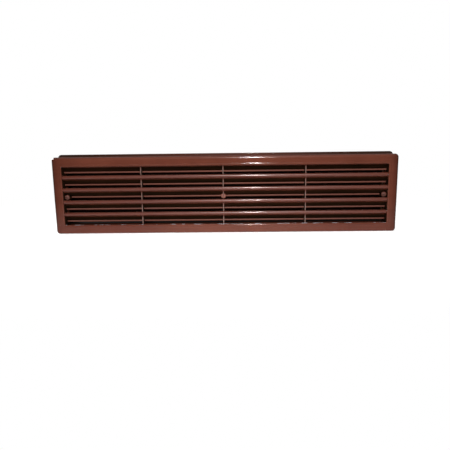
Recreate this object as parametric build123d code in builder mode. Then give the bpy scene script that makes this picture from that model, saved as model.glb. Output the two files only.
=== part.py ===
from build123d import *
import os

# Door vent grille: two louvred plastic mouldings, one from each side of the door leaf.
# The rear collar telescopes inside the front collar, and three screws draw the halves together.
# X runs across the door, Y through it (the front faces -Y) and Z up.
# The origin is the middle of the cut-out, half way through the thinnest leaf that the grille fits.

os.makedirs("parts", exist_ok=True)

# Door leaf
door_gap = 28.0          # clear space between the two flanges when closed up

# Flange, the same outside on both halves
flange_width = 440.0
flange_height = 100.0
bar_width = 12.0         # front flange, from its outer edge to the opening
flange_depth = 4.0       # flat face to the rim that seats on the door
face_wall = 2.0
rim_wall = 3.6           # width of the rim that seats on the door
pocket_corner = 1.0      # corners of the hollow back, inside the rim
flange_corner = 4.2
flange_edge = 3.0        # rounding along the outer front edge
bead_width = 2.6         # raised bead round the opening
bead_height = 0.6
opening_edge = 1.3       # rounding from the bead into the opening
opening_corner = 1.5

# Collars
front_collar_wall = 2.0
rear_collar_wall = 1.6
collar_clearance = 0.3   # between the sliding collars, each side
collar_step = 3.5        # inside of the front collar above and below the opening
collar_end_gap = 1.0     # front collar to the rear seat plane when closed up
rear_collar_setback = 2.5  # end of the rear collar behind the ends of its posts

# Louvre blades: a thick nose, a leg that slopes down inwards and a hanging lip
nose_count = 4
nose_height = 4.4
nose_depth = 3.0
nose_recess = 1.0        # nose behind the flat face of the flange
nose_edge = 2.0
leg_thickness = 2.0
lip_reach = 12.0         # nose front to lip front
lip_height = 2.2
lip_thickness = 2.0
lip_edge = 0.6
sight_slot = 1.5         # height left open between a lip and the next nose

# Upright ribs that tie the blades together
rib_count = 3
rib_pitch = 105.3
rib_offset = -1.4        # the rib group sits a little to the left of the middle
rib_thickness = 1.4
rib_edge = 0.6           # rounding along the front of a rib
rib_setback = 2.2        # rib front edge behind the nose front

# Screws, their bosses in the front half and posts in the rear half
boss_inset = 3.2         # end boss axis to the opening's side
boss_drop = 2.7          # boss axes below the middle of the opening
boss_radius = 3.4
boss_face = 8.0          # boss face behind the flat face of the front flange
boss_relief = 4.6        # radius cut out of the blades round the end bosses
boss_web = 3.0           # web that ties a boss or post to its wall
post_radius = 4.4
closing_gap = 0.3        # front blades and bosses to rear collar and posts when closed up
shank_radius = 1.75
shank_clearance = 0.2    # radial, in the front bosses
post_clearance = 0.05    # radial, in the rear posts
tip_length = 3.0
tip_radius = 0.5
tip_clearance = 0.6      # screw tip to the bottom of the post's bore
post_end = 1.2           # wall that closes the post behind the screw
post_recess = 2.2        # closed end of the post behind the flat face of the rear flange
head_radius = 2.8
head_height = 2.2
head_crown = 0.9         # rise of the domed top of the head
head_clearance = 0.25    # radial, cut out of the rib in front of the middle boss
recess_length = 3.4
recess_width = 0.8
recess_depth = 1.2

# Worked out from the sizes above
seat_y = -door_gap / 2
face_y = seat_y - flange_depth
opening_width = flange_width - 2 * bar_width
opening_height = flange_height - 2 * bar_width
bead_edge = 0.75 * bead_height
collar_height = opening_height + 2 * collar_step
rear_width = opening_width - 2 * (collar_clearance + rear_collar_wall)
rear_height = collar_height - 2 * (collar_clearance + rear_collar_wall)
blade_back_y = face_y + nose_recess + lip_reach + lip_thickness
rear_start_y = blade_back_y + closing_gap
rear_collar_end_y = rear_start_y + rear_collar_setback
front_collar_end_y = -seat_y - collar_end_gap
nose_back_y = face_y + nose_recess + nose_depth
boss_face_y = face_y + boss_face
tip_y = -face_y - post_recess - post_end - tip_clearance
end_boss_x = opening_width / 2 - boss_inset
rib_places = [rib_offset + rib_pitch * (i - (rib_count - 1) / 2) for i in range(rib_count)]
middle_boss_x = rib_places[rib_count // 2]
end_boss_points = [(-end_boss_x, -boss_drop), (end_boss_x, -boss_drop)]
boss_points = end_boss_points + [(middle_boss_x, -boss_drop)]


def across(y):
    """Sketch plane across the door at depth y, seen from the front."""
    return Plane(origin=(0, y, 0), x_dir=(1, 0, 0), z_dir=(0, -1, 0))


def blade_section(pitch):
    """One blade in section, with the middle of its nose front at the origin."""
    half_nose = nose_height / 2
    lip_bottom = half_nose + sight_slot - pitch
    lip_top = lip_bottom + lip_height
    leg_start = nose_edge  # the leg leaves the nose where the rounding of its lower edge ends
    slope = Vector(lip_reach - leg_start, lip_top + half_nose)
    leg_rise = leg_thickness * slope.length / slope.X
    fall = slope.Y / slope.X
    leg_back = lip_reach + lip_thickness
    with BuildSketch() as section:
        with BuildLine():
            Polyline(
                (0, half_nose),
                (0, -half_nose),
                (leg_start, -half_nose),
                (lip_reach, lip_top),
                (lip_reach, lip_bottom),
                (leg_back, lip_bottom),
                (leg_back, -half_nose + leg_rise + fall * (leg_back - leg_start)),
                (nose_depth, -half_nose + leg_rise + fall * (nose_depth - leg_start)),
                (nose_depth, half_nose),
                close=True,
            )
        make_face()
        nose_front = section.vertices().group_by(Axis.X)[0]
        fillet(nose_front, nose_edge)
        lip_tips = section.vertices().group_by(Axis.Y)[0]
        fillet(lip_tips, lip_edge)
    return section.sketch


def louvre_field(width, height, wall):
    """Blades and ribs that fill a collar of this inner size and run half way into its walls."""
    pitch = (opening_height + nose_height) / (nose_count + 1)
    nose_y = face_y + nose_recess
    rib_front_y = nose_y + rib_setback
    top_nose_z = (opening_height + nose_height) / 2
    nose_places = [(nose_y, top_nose_z - pitch * i) for i in range(nose_count + 1)]
    blade = blade_section(pitch)
    with BuildPart() as field:
        with BuildSketch(Plane.YZ):
            with Locations(*nose_places):
                add(blade)
        extrude(amount=(width + wall) / 2, both=True)
        with BuildSketch(Plane.XY.offset(-(height + wall) / 2)) as ribs:
            with Locations(*[(x, (rib_front_y + blade_back_y) / 2) for x in rib_places]):
                Rectangle(rib_thickness, blade_back_y - rib_front_y)
            fillet(ribs.vertices().group_by(Axis.Y)[0], rib_edge)
        extrude(amount=height + wall)
        with BuildSketch(across(nose_y)):
            Rectangle(width + wall, height + wall)
        extrude(amount=nose_y - blade_back_y, mode=Mode.INTERSECT)
    return field.part


def add_flange(inner_width):
    """Flange with a rounded outer edge, a hollow back and a raised bead round the opening."""
    with BuildSketch(across(face_y)) as outline:
        RectangleRounded(flange_width, flange_height, flange_corner)
    extrude(outline.sketch, amount=-flange_depth)
    fillet(faces().sort_by(Axis.Y)[0].edges(), flange_edge)
    with BuildSketch(across(seat_y)) as pocket:
        RectangleRounded(flange_width - 2 * rim_wall, flange_height - 2 * rim_wall, pocket_corner)
    extrude(pocket.sketch, amount=flange_depth - face_wall, mode=Mode.SUBTRACT)
    with BuildSketch(across(face_y)) as bead:
        bead_corner = opening_corner + bead_width
        RectangleRounded(inner_width + 2 * bead_width, opening_height + 2 * bead_width, bead_corner)
    extrude(bead.sketch, amount=bead_height)
    fillet(faces().sort_by(Axis.Y)[0].edges(), bead_edge)


def add_collar(inner_width, inner_height, wall, end_y):
    """Collar behind the flange, and the opening cut through the flange with its front edge rounded."""
    start_y = face_y + face_wall / 2
    with BuildSketch(across(start_y)) as outside:
        RectangleRounded(inner_width + 2 * wall, inner_height + 2 * wall, opening_corner + wall)
    extrude(outside.sketch, amount=start_y - end_y)
    with BuildSketch(across(face_y + face_wall)) as inside:
        RectangleRounded(inner_width, inner_height, opening_corner)
    extrude(inside.sketch, amount=face_y + face_wall - end_y, mode=Mode.SUBTRACT)
    with BuildSketch(across(face_y - bead_height)) as opening:
        RectangleRounded(inner_width, opening_height, opening_corner)
    extrude(opening.sketch, amount=-bead_height - face_wall, mode=Mode.SUBTRACT)
    fillet(faces().sort_by(Axis.Y)[0].inner_wires()[0].edges(), opening_edge)


def add_bosses(radius, from_y, to_y, wall_x):
    """Round bosses on the screw axes, the end ones webbed to the side walls and cut flush at wall_x."""
    web_length = wall_x - end_boss_x
    web_x = end_boss_x + web_length / 2
    with BuildSketch(across(from_y)) as bosses:
        with Locations(*boss_points):
            Circle(radius)
        with Locations((-web_x, -boss_drop), (web_x, -boss_drop)):
            Rectangle(web_length, boss_web)
        Rectangle(2 * wall_x, opening_height, mode=Mode.INTERSECT)
    extrude(bosses.sketch, amount=from_y - to_y)


def cut_bores(radius, from_y, to_y):
    """Round bores on the screw axes."""
    with BuildSketch(across(from_y)) as bores:
        with Locations(*boss_points):
            Circle(radius)
    extrude(bores.sketch, amount=from_y - to_y, mode=Mode.SUBTRACT)


# Blades and ribs of the front half, cut back round the end bosses and in front of each screw head
with BuildPart() as front_louvres:
    add(louvre_field(opening_width, collar_height, front_collar_wall))
    with BuildSketch(across(nose_back_y)):
        with Locations(*end_boss_points):
            Circle(boss_relief)
    extrude(amount=nose_back_y - blade_back_y, mode=Mode.SUBTRACT)
    with BuildSketch(across(face_y)):
        with Locations(*boss_points):
            Circle(head_radius + head_clearance)
    extrude(amount=-boss_face, mode=Mode.SUBTRACT)

# Front half: one moulding
with BuildPart() as front_grille:
    add_flange(opening_width)
    add_collar(opening_width, collar_height, front_collar_wall, front_collar_end_y)
    add(front_louvres.part)
    add_bosses(boss_radius, boss_face_y, blade_back_y, opening_width / 2 + front_collar_wall)
    cut_bores(shank_radius + shank_clearance, boss_face_y, blade_back_y)
front_grille.part.label = "front_grille"

# Rear half: one moulding, drawn from its own face and mirrored through the middle of the leaf
rear_louvres = louvre_field(rear_width, rear_height, rear_collar_wall)
with BuildPart() as rear_grille:
    add_flange(rear_width)
    add_collar(rear_width, rear_height, rear_collar_wall, -rear_collar_end_y)
    add(rear_louvres)
    add_bosses(post_radius, face_y + post_recess, -rear_start_y, rear_width / 2 + rear_collar_wall)
    cut_bores(shank_radius + post_clearance, -tip_y - tip_clearance, -rear_start_y)
    mirror(about=Plane.XZ, mode=Mode.REPLACE)
rear_grille.part.label = "rear_grille"

# One pan-head screw, turned about its axis with the underside of the head at the origin
screw_length = tip_y - boss_face_y
head_side = head_height - head_crown
crown_radius = (head_radius**2 + head_crown**2) / (2 * head_crown)
with BuildPart() as screw:
    with BuildSketch():
        with BuildLine():
            Polyline(
                (0, head_height),
                (0, -screw_length),
                (tip_radius, -screw_length),
                (shank_radius, tip_length - screw_length),
                (shank_radius, 0),
                (head_radius, 0),
                (head_radius, head_side),
            )
            RadiusArc((head_radius, head_side), (0, head_height), -crown_radius)
        make_face()
    revolve(axis=Axis.Y)
    with BuildSketch(Plane.XZ.offset(-head_height - head_crown)):
        Rectangle(recess_length, recess_width)
        Rectangle(recess_width, recess_length)
    extrude(amount=head_crown + recess_depth, mode=Mode.SUBTRACT)

# The three joining screws, heads to the front
with BuildPart() as joining_screws:
    with Locations(*[(x, boss_face_y, z) for x, z in boss_points]):
        add(screw.part, rotation=(180, 0, 0))
joining_screws.part.label = "joining_screws"

export_step(front_grille.part, "parts/front_grille.step")
export_step(rear_grille.part, "parts/rear_grille.step")
export_step(joining_screws.part, "parts/joining_screws.step")
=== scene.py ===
import math
from types import SimpleNamespace

import bpy
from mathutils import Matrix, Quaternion, Vector


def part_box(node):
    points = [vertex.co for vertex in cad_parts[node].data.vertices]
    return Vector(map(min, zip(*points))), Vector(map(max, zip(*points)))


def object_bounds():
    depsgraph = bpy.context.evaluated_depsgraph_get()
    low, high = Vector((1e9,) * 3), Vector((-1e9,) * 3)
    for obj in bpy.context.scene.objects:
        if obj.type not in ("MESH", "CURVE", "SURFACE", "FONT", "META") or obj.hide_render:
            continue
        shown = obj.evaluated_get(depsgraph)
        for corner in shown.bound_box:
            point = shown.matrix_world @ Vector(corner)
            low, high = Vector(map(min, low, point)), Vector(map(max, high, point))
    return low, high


# Looks of the door vent grille: glossy red-brown mouldings, lacquered screws, a pale floor,
# soft studio light and a camera in front of the grille and a little above it. Lengths are in metres.

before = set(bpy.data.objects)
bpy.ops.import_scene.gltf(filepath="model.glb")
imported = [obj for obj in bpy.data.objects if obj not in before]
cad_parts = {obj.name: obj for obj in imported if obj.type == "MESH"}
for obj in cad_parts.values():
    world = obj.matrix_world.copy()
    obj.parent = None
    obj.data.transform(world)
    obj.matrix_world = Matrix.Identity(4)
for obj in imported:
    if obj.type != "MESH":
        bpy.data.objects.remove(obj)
cad_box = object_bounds()
low, high = cad_box
front_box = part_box("front_grille")
screw_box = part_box("joining_screws")

# Camera, as the photograph was taken
CAMERA_PLACE = Vector((0.0187, -0.7818, 0.1394))
CAMERA_AIM = Vector((0.0002, front_box[0].y, -0.0394))
CAMERA_ROLL = math.radians(-0.84)
CAMERA_LENS = 48.46
CAMERA_SENSOR = 36.0

# Sizes of the mouldings
BAR_WIDTH = 0.012         # flange, from its outer edge to the opening
BEAD_HEIGHT = 0.0006
FLANGE_DEPTH = 0.004      # flat face to the seat on the door
FLANGE_EDGE = 0.003       # rounding along the outer edge
COLLAR_STEP = 0.0035      # from the opening up to where the two collars slide in each other
COLLAR_WALL = 0.002
NOSE_RECESS = 0.001       # noses of the blades behind the flat face
NOSE_COUNT = 4
NOSE_HEIGHT = 0.0044
LIP_REACH = 0.012         # lips of the blades behind the noses
RIB_PITCH = 0.1053
RIB_OFFSET = -0.0014
RIB_HALF = 0.0007         # half the thickness of a rib
RIB_SETBACK = 0.0022      # rib fronts behind the noses

# Places worked out from them. Depths are counted from the middle of the door towards a half's own face.
opening_side = high.x - BAR_WIDTH
sill_height = low.z + BAR_WIDTH
opening_height = high.z - BAR_WIDTH - sill_height
collar_half = opening_height / 2 + COLLAR_STEP
nose_pitch = (opening_height + NOSE_HEIGHT) / (NOSE_COUNT + 1)
face_depth = high.y - BEAD_HEIGHT
seat_depth = face_depth - FLANGE_DEPTH
nose_depth = face_depth - NOSE_RECESS
lip_depth = nose_depth - LIP_REACH
rib_depth = nose_depth - RIB_SETBACK
rib_places = [RIB_OFFSET + step * RIB_PITCH for step in (-1, 0, 1)]

# Width over which one tone of the plastic passes into the next
SOFT = 0.0006

# Heights of the finest relief
SKIN_RELIEF = 0.000005
SCRATCH_DEPTH = 0.000006
LACQUER_RELIEF = 0.000012

# Colours, as linear red, green and blue
PLASTIC_DEEP = (0.090, 0.0225, 0.0125)
PLASTIC_WARM = (0.132, 0.0360, 0.0205)
# Painted shade: the side bars darkened towards the ends of the grille, where the light falls off
PLASTIC_END_SHADE = (0.050, 0.0115, 0.0060)
PLASTIC_SCUFF = (0.190, 0.0660, 0.0420)
# Painted shade for the blades behind the flat face and for the ends of the bottom bar
BLADE_SHADE = (0.085, 0.0140, 0.0060)
# Painted sheen: pale reflection on the rib fronts
RIB_PAINTED_SHEEN = (0.210, 0.1400, 0.1180)
# Painted light: paler fronts of the hanging lips
LIP_PAINTED_LIGHT = (0.215, 0.0800, 0.0580)
# Painted shade: dark tones inside the grille, on the door side and on the outer edges; black on the collar
# floor
INNER_SHADE = (0.014, 0.0075, 0.0032)
INNER_SHADE_WARM = (0.028, 0.0108, 0.0050)
INNER_BLACK_SHADE = (0.003, 0.0020, 0.0012)
DUST = (0.300, 0.2350, 0.2000)
# Painted glint: bluish-white flecks along the sill, for the reflection of the bright backdrop
SILL_PAINTED_GLINT = (0.700, 0.7300, 0.8000)
LACQUER = (0.170, 0.0640, 0.0480)
LACQUER_DARK = (0.085, 0.0350, 0.0270)
LACQUER_PALE = (0.330, 0.1350, 0.1000)
BARE_STEEL = (0.480, 0.4500, 0.4200)
FLOOR_PALE = (0.800, 0.8000, 0.7950)
STUDIO_WHITE = (1.000, 1.0000, 1.0000)


class Wire:
    """A socket in a node tree. Sums on wires become Math nodes, and `node` adds any other node."""

    MATH_INPUTS = ("Value", "Value_001", "Value_002")

    def __init__(self, tree, socket=None):
        self.tree, self.socket = tree, socket

    @staticmethod
    def pick(sockets, name):
        """The socket of this identifier or name, or the first one in use."""
        usable = [s for s in sockets if s.enabled]
        if name is None:
            return usable[0]
        return next(s for s in usable if name in (s.identifier, s.name))

    def node(self, kind, settings=None, sockets=None, out=None):
        """Adds a node: its settings first, then the values or links of its sockets."""
        made = self.tree.nodes.new("ShaderNode" + kind)
        for name, value in (settings or {}).items():
            setattr(made, name, value)
        for name, value in (sockets or {}).items():
            target = self.pick(made.inputs, name)
            if isinstance(value, Wire):
                self.tree.links.new(value.socket, target)
            else:
                target.default_value = value
        return Wire(self.tree, self.pick(made.outputs, out)) if made.outputs else None

    def math(self, operation, *values):
        return self.node("Math", {"operation": operation}, dict(zip(self.MATH_INPUTS, values)))

    def __add__(self, other):
        return self.math("ADD", self, other)

    def __radd__(self, other):
        return self.math("ADD", other, self)

    def __sub__(self, other):
        return self.math("SUBTRACT", self, other)

    def __rsub__(self, other):
        return self.math("SUBTRACT", other, self)

    def __mul__(self, other):
        return self.math("MULTIPLY", self, other)

    def __rmul__(self, other):
        return self.math("MULTIPLY", other, self)

    def __abs__(self):
        return self.math("ABSOLUTE", self)

    def least(self, other):
        return self.math("MINIMUM", self, other)

    def most(self, other):
        return self.math("MAXIMUM", self, other)

    def root(self):
        return self.math("SQRT", self)

    def sign(self):
        return self.math("SIGN", self)

    def fraction(self):
        return self.math("FRACT", self)

    def fade(self, start, end, first=0.0, last=1.0):
        """Goes smoothly from first to last as this value goes from start to end."""
        ends = {"From Min": start, "From Max": end, "To Min": first, "To Max": last}
        return self.node("MapRange", {"interpolation_type": "SMOOTHSTEP"}, {"Value": self, **ends})

    def near(self, middle, half, soft):
        """1 within half of the middle, and down to 0 over the soft width beyond."""
        return abs(self - middle).fade(half + soft, half)

    def parts(self):
        """The x, y and z of a vector."""
        split = self.node("SeparateXYZ", sockets={"Vector": self}).socket.node
        return [Wire(self.tree, s) for s in split.outputs]

    def moved(self, step):
        """This vector plus a step."""
        return self.node("VectorMath", {"operation": "ADD"}, {"Vector": self, "Vector_001": step})

    def stretched(self, *factors):
        """This vector times a factor along each axis."""
        return self.node("VectorMath", {"operation": "MULTIPLY"}, {"Vector": self, "Vector_001": factors})

    def noise(self, scale, detail=3.0, rough=0.5):
        sockets = {"Vector": self, "Scale": scale, "Detail": detail, "Roughness": rough}
        return self.node("TexNoise", {"noise_dimensions": "3D"}, sockets, "Fac")

    def cells(self, scale, feature):
        return self.node("TexVoronoi", {"feature": feature}, {"Vector": self, "Scale": scale}, "Distance")

    def mixed(self, first, last):
        """A colour that goes from first to last as this value goes from 0 to 1."""
        ends = {"A_Color": colour(first), "B_Color": colour(last)}
        return self.node("Mix", {"data_type": "RGBA"}, {"Factor_Float": self, **ends}, "Result_Color")


def colour(value):
    """A colour with its alpha, or a wire as it is."""
    return value if isinstance(value, Wire) else (*value, 1.0)


def new_finish(name):
    """A material with an empty node tree, and a wire that only carries the tree."""
    finish = bpy.data.materials.new(name)
    finish.use_nodes = True
    finish.node_tree.nodes.clear()
    return finish, Wire(finish.node_tree)


def surface(shader):
    """Makes this shader the surface of its finish."""
    shader.node("OutputMaterial", sockets={"Surface": shader})


def softened_normal(tree, radius):
    """The normal with sharp edges rounded over."""
    return tree.node("Bevel", {"samples": 6}, {"Radius": radius})


def edge_share(tree, radius):
    """How near a sharp edge is: 0 on flat faces, and more as the softened normal turns from theirs."""
    vectors = {"Vector": softened_normal(tree, radius), "Vector_001": tree.node("NewGeometry", out="Normal")}
    return 1 - tree.node("VectorMath", {"operation": "DOT_PRODUCT"}, vectors, "Value")


def bumped(normal, height, distance):
    """The normal with a relief on it, as high as the distance where the height is 1."""
    return normal.node("Bump", sockets={"Height": height, "Distance": distance, "Normal": normal})


def spot_on_half(tree, front):
    """Where a point lies on a half whose face looks along front times Y, and which way it faces."""
    x, y, z = tree.node("TexCoord", out="Object").parts()
    side, along, up = tree.node("NewGeometry", out="Normal").parts()
    return SimpleNamespace(x=x, z=z, depth=front * y, sideways=side * x.sign(), up=up, outward=front * along)


def painted_rib_sheen(spot):
    """Painted sheen on the front edges of the upright ribs: a pale reflection, kept out of the shade that
    each nose throws just below itself.

    The noses lie half a pitch, one and a half and so on from the middle.
    """
    left, centre, right = (spot.x.near(rib, 0.85 * RIB_HALF, 0.30 * RIB_HALF) for rib in rib_places)
    faces = left.most(centre).most(right) * spot.depth.near(rib_depth, SOFT / 3, SOFT)
    below_nose = (0.5 - spot.z * (1 / nose_pitch)).fraction()
    return faces * abs(spot.outward).fade(0.3, 0.6) * below_nose.fade(0.20, 0.42)


def painted_lip_light(spot):
    """Painted light on the fronts of the hanging lips, which makes them paler."""
    return spot.depth.near(lip_depth, 0.9 * SOFT, SOFT) * spot.outward.fade(0.6, 0.9)


def door_side_shade(spot):
    """Painted shade on the hollow back of the flange, which the door hides, darkest towards its ends."""
    back = spot.outward.fade(-0.30, -0.80) * spot.depth.fade(seat_depth - 3.3 * SOFT, seat_depth - 1.7 * SOFT)
    return back * abs(spot.x).fade(0.1 * high.x, 0.9 * high.x, 0.5, 1.0)


def painted_sill_glint(spot, place):
    """Painted glint along the lower edge of the opening: broken bluish-white flecks that stand for the
    reflection of the bright backdrop.
    """
    edge = spot.z.near(sill_height, SOFT, SOFT / 2) * spot.up.fade(0.86, 0.98)
    edge = edge * spot.depth.fade(nose_depth - 2.5 * SOFT, nose_depth - 1.7 * SOFT)
    return edge * place.stretched(70.0, 8.0, 8.0).noise(1.0, 4.0, 0.6).fade(0.49, 0.60)


def core_faces(spot):
    """Faces that the mould's core left matt, and which are painted in shade: all behind the noses but the
    fronts of the lips.
    """
    behind = spot.depth.fade(seat_depth - SOFT / 3, seat_depth - 2.7 * SOFT) * spot.outward.fade(0.95, 0.80)
    side_walls = spot.depth.fade(face_depth - SOFT / 3, nose_depth + SOFT / 3)
    return behind.most(side_walls * spot.sideways.fade(-0.60, -0.85))


def collar_outside(spot, front):
    """Outer faces of this half's collar: the front collar lies round the sliding fit, the rear one within."""
    wall_side = opening_side - front * COLLAR_WALL / 2
    wall_top = collar_half - front * COLLAR_WALL / 2
    beside = abs(spot.x).fade(wall_side, wall_side + SOFT / 2)
    return beside.most(abs(spot.z).fade(wall_top, wall_top + SOFT / 2))


def moulded_plastic(name, front, glint_share, shift):
    """Glossy pigmented plastic with flow marks, faint handling scuffs and dust on its ledges, painted shade
    on its ends, blades and hidden faces, and painted light on its lip fronts, rib fronts and sill.
    """
    finish, tree = new_finish(name)
    spot = spot_on_half(tree, front)
    place = tree.node("TexCoord", out="Object").moved(shift)
    rounded = softened_normal(tree, 2 * SOFT)
    edge = edge_share(tree, 0.8 * SOFT)

    cloud = place.noise(16.0, 3.0)
    flow = place.stretched(5.0, 70.0, 110.0).noise(1.0, 4.0, 0.6)
    grain = place.noise(2600.0, 2.0)
    smudge = place.noise(34.0, 5.0, 0.65)
    tone = (0.55 * cloud + 0.33 * flow + 0.12 * grain).fade(0.34, 0.66)

    worn = edge.fade(0.02, 0.30) * smudge.fade(0.42, 0.70)
    ledge = spot.up.fade(0.55, 0.98) * place.noise(150.0, 6.0, 0.7).fade(0.40, 0.72)
    fleck = place.cells(420.0, "F1").fade(0.10, 0.05) * place.noise(60.0, 2.0).fade(0.60, 0.68)
    hairline = place.stretched(26.0, 210.0, 150.0).cells(1.0, "DISTANCE_TO_EDGE").fade(0.012, 0.0)
    hairline = hairline * place.noise(22.0, 2.0).fade(0.54, 0.66)

    # Painted shade: the side bars darken towards their outer ends, where less light falls
    side_bar_shade = abs(spot.x).fade(opening_side, high.x)
    # Painted shade: the outer rounding of each end darkened towards the contour
    side_edge_shade = abs(spot.x).fade(high.x - 0.93 * FLANGE_EDGE, high.x - 0.13 * FLANGE_EDGE)
    low_bar = spot.z.fade(sill_height + 3.3 * SOFT, sill_height - 3.3 * SOFT)
    # Painted shade: the bottom bar darker towards its ends, paler in the middle where the light falls
    low_bar_end_shade = low_bar * abs(spot.x).fade(0.23 * high.x, 0.77 * high.x)
    blade = spot.depth.fade(face_depth - 0.7 * SOFT, nose_depth + SOFT / 3)

    body = tone.mixed(PLASTIC_DEEP, PLASTIC_WARM)
    for share, mask, tint in (
        (0.55, worn, PLASTIC_SCUFF),
        (0.22, ledge, DUST),
        # painted shade on the side bars
        (0.72, side_bar_shade, PLASTIC_END_SHADE),
        # painted shade on the outer rounding of the ends
        (0.40, side_edge_shade, INNER_SHADE),
        # painted shade on the ends of the bottom bar and on the blades behind the face
        (0.45, low_bar_end_shade, BLADE_SHADE),
        (0.50, blade, BLADE_SHADE),
        # painted sheen on the rib fronts
        (0.70, painted_rib_sheen(spot), RIB_PAINTED_SHEEN),
        # painted shade on the back of the flange
        (0.80, door_side_shade(spot), INNER_SHADE),
        # painted light on the lip fronts
        (0.60, painted_lip_light(spot), LIP_PAINTED_LIGHT),
        # painted glint along the sill
        (glint_share, painted_sill_glint(spot, place), SILL_PAINTED_GLINT),
        (0.50, fleck, DUST),
    ):
        body = (share * mask).mixed(body, tint)

    roughness = 0.085 + 0.05 * smudge.fade(0.35, 0.75) + 0.22 * ledge + 0.10 * worn + 0.12 * hairline
    skin = bumped(rounded, place.noise(520.0, 2.0) + 0.35 * grain, SKIN_RELIEF)
    skin = bumped(skin, 1 - hairline, SCRATCH_DEPTH)
    polished = tree.node("BsdfPrincipled", sockets={
        "Base Color": body, "Roughness": roughness, "Normal": skin, "IOR": 1.48, "Specular IOR Level": 0.22,
        "Coat Weight": 0.12 + 0.50 * blade, "Coat Roughness": 0.35,
    })
    # Painted shade: the faces inside the grille darkened, and the collar floor by the sill nearly black
    hidden_face_shade = tone.mixed(INNER_SHADE, INNER_SHADE_WARM)
    hidden_face_shade = (0.95 * spot.z.fade(sill_height, sill_height - 2 * SOFT)).mixed(hidden_face_shade, INNER_BLACK_SHADE)
    hidden_face_shade = collar_outside(spot, front).mixed(hidden_face_shade, body)
    matt = tree.node("BsdfPrincipled", sockets={
        "Base Color": hidden_face_shade, "Roughness": 0.60, "Normal": skin, "Specular IOR Level": 0.02,
    })
    surface(tree.node("MixShader", sockets={"Fac": core_faces(spot), "Shader": polished, "Shader_001": matt}))
    return finish


def lacquered_screw(name):
    """Brown lacquer on steel, with painted shade in the middle of each head, worn at the edges and paler on
    the middle screw.
    """
    finish, tree = new_finish(name)
    place = tree.node("TexCoord", out="Object")
    x, y, z = place.parts()
    head_radius = (screw_box[1].z - screw_box[0].z) / 2
    end_axis = (screw_box[1].x - screw_box[0].x) / 2 - head_radius
    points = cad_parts["joining_screws"].data.vertices
    middle_screw = [point.co.x for point in points if abs(point.co.x) < end_axis / 2]
    middle_axis = (min(middle_screw) + max(middle_screw)) / 2
    axis_height = (screw_box[0].z + screw_box[1].z) / 2
    across = abs(abs(x) - end_axis).least(abs(x - middle_axis))
    rise = z - axis_height
    radius = (across * across + rise * rise).root()
    rounded = softened_normal(tree, 0.4 * SOFT)
    edge = edge_share(tree, 0.4 * SOFT)

    patch = place.noise(900.0, 4.0, 0.6)
    # The middle screw is painted paler
    middle_paler = x.near(middle_axis, head_radius, 0.5 * head_radius)
    # Painted shade: darker towards the middle of each head, in the cross-shaped hollow
    recess_shade = radius.fade(0.55 * head_radius, 0.25 * head_radius)
    worn = edge.fade(0.05, 0.35) * patch.fade(0.38, 0.62)
    base = patch.fade(0.35, 0.65).mixed(LACQUER_DARK, LACQUER)
    for share, mask, tint in (
        (0.60, middle_paler, LACQUER_PALE),
        (0.40, recess_shade, LACQUER_DARK),
        (0.25, worn, BARE_STEEL),
    ):
        base = (share * mask).mixed(base, tint)
    roughness = 0.50 + 0.15 * patch.fade(0.3, 0.7) + 0.10 * recess_shade
    skin = bumped(rounded, patch, LACQUER_RELIEF)
    surface(tree.node("BsdfPrincipled", sockets={
        "Base Color": base, "Roughness": roughness, "Metallic": 0.25 * worn, "Normal": skin,
        "IOR": 1.5, "Specular IOR Level": 0.25,
    }))
    return finish


def pale_floor(name, reach):
    """Matt pale sheet that fades away a little beyond the grille, so that no far edge shows."""
    finish, tree = new_finish(name)
    place = tree.node("TexCoord", out="Object")
    x, y, z = place.parts()
    beside = (abs(x) - 0.5 * high.x).most(0.0)
    away = (beside * beside + y * y).root()
    mottle = place.noise(3.0, 4.0).fade(0.3, 0.7)
    tint = mottle.mixed(FLOOR_PALE, [0.98 * c for c in FLOOR_PALE])
    sheet = tree.node("BsdfPrincipled", sockets={
        "Base Color": tint, "Roughness": 0.75,
        "Emission Color": colour(STUDIO_WHITE), "Emission Strength": 0.60,
    })
    clear = tree.node("BsdfTransparent")
    fade = away.fade(0.02 * reach, 0.16 * reach)
    surface(tree.node("MixShader", sockets={"Fac": fade, "Shader": sheet, "Shader_001": clear}))
    return finish


def dress(node, finish):
    """Gives every material slot of a CAD node this finish."""
    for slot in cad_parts[node].material_slots:
        slot.material = finish


front_plastic = moulded_plastic("front_moulded_plastic", front=-1, glint_share=0.95, shift=(0.0, 0.0, 0.0))
rear_plastic = moulded_plastic("rear_moulded_plastic", front=1, glint_share=0.40, shift=(1.7, 0.9, 0.4))
dress("front_grille", front_plastic)
dress("rear_grille", rear_plastic)
dress("joining_screws", lacquered_screw("brown_screw_lacquer"))

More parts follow.
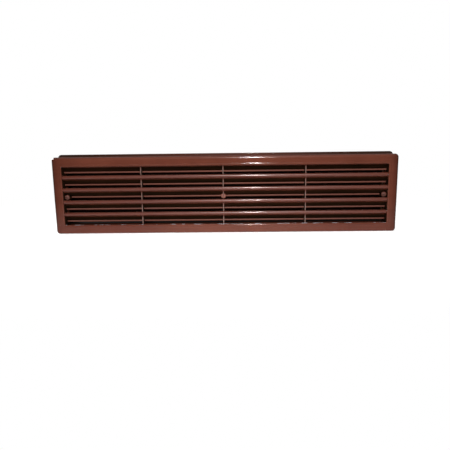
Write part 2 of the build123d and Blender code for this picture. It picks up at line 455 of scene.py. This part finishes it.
# Floor under the lower edges of the flanges
FLOOR_REACH = 2.0
floor_mesh = bpy.data.meshes.new("floor")
corners = [(-FLOOR_REACH, -FLOOR_REACH, 0), (FLOOR_REACH, -FLOOR_REACH, 0),
           (FLOOR_REACH, FLOOR_REACH, 0), (-FLOOR_REACH, FLOOR_REACH, 0)]
floor_mesh.from_pydata(corners, [], [(0, 1, 2, 3)])
floor = bpy.data.objects.new("floor", floor_mesh)
floor.location.z = low.z
floor_mesh.materials.append(pale_floor("pale_floor", FLOOR_REACH))
bpy.context.scene.collection.objects.link(floor)


def soft_box(name, place, width, height, watts, spread=180.0):
    """A rectangular studio light turned to the middle of the grille. The spread of its beam is in degrees."""
    lamp = bpy.data.lights.new(name, "AREA")
    lamp.shape = "RECTANGLE"
    lamp.size, lamp.size_y = width, height
    lamp.energy = watts
    lamp.spread = math.radians(spread)
    holder = bpy.data.objects.new(name, lamp)
    holder.location = place
    holder.rotation_mode = "QUATERNION"
    middle = (low + high) / 2
    holder.rotation_quaternion = (middle - Vector(place)).to_track_quat("-Z", "Y")
    bpy.context.scene.collection.objects.link(holder)


soft_box("key_light", place=(0.060, -0.90, 0.50), width=0.035, height=0.065, watts=2.10, spread=76.0)
soft_box("rear_light", place=(-0.95, 0.75, 0.45), width=0.30, height=0.30, watts=16.0)
soft_box("top_light", place=(0.0, 0.25, 1.7), width=1.8, height=1.4, watts=3.0)

# Studio walls: white to the camera, dimmer as a light
world = bpy.data.worlds.new("studio")
world.use_nodes = True
world.node_tree.nodes.clear()
air = Wire(world.node_tree)
seen = air.node("Background", sockets={"Color": colour(STUDIO_WHITE), "Strength": 1.0})
lit = air.node("Background", sockets={"Color": colour(STUDIO_WHITE), "Strength": 0.12})
straight = air.node("LightPath", out="Is Camera Ray")
walls = air.node("MixShader", sockets={"Fac": straight, "Shader": lit, "Shader_001": seen})
air.node("OutputWorld", sockets={"Surface": walls})
bpy.context.scene.world = world

lens = bpy.data.cameras.new("camera")
lens.sensor_width = CAMERA_SENSOR
lens.lens = CAMERA_LENS
lens.clip_start = 0.01
camera = bpy.data.objects.new("camera", lens)
camera.location = CAMERA_PLACE
camera.rotation_mode = "QUATERNION"
aim = (CAMERA_AIM - CAMERA_PLACE).to_track_quat("-Z", "Y")
camera.rotation_quaternion = aim @ Quaternion((0, 0, 1), CAMERA_ROLL)
bpy.context.scene.collection.objects.link(camera)
bpy.context.scene.camera = camera
bpy.context.scene.view_settings.view_transform = "Standard"
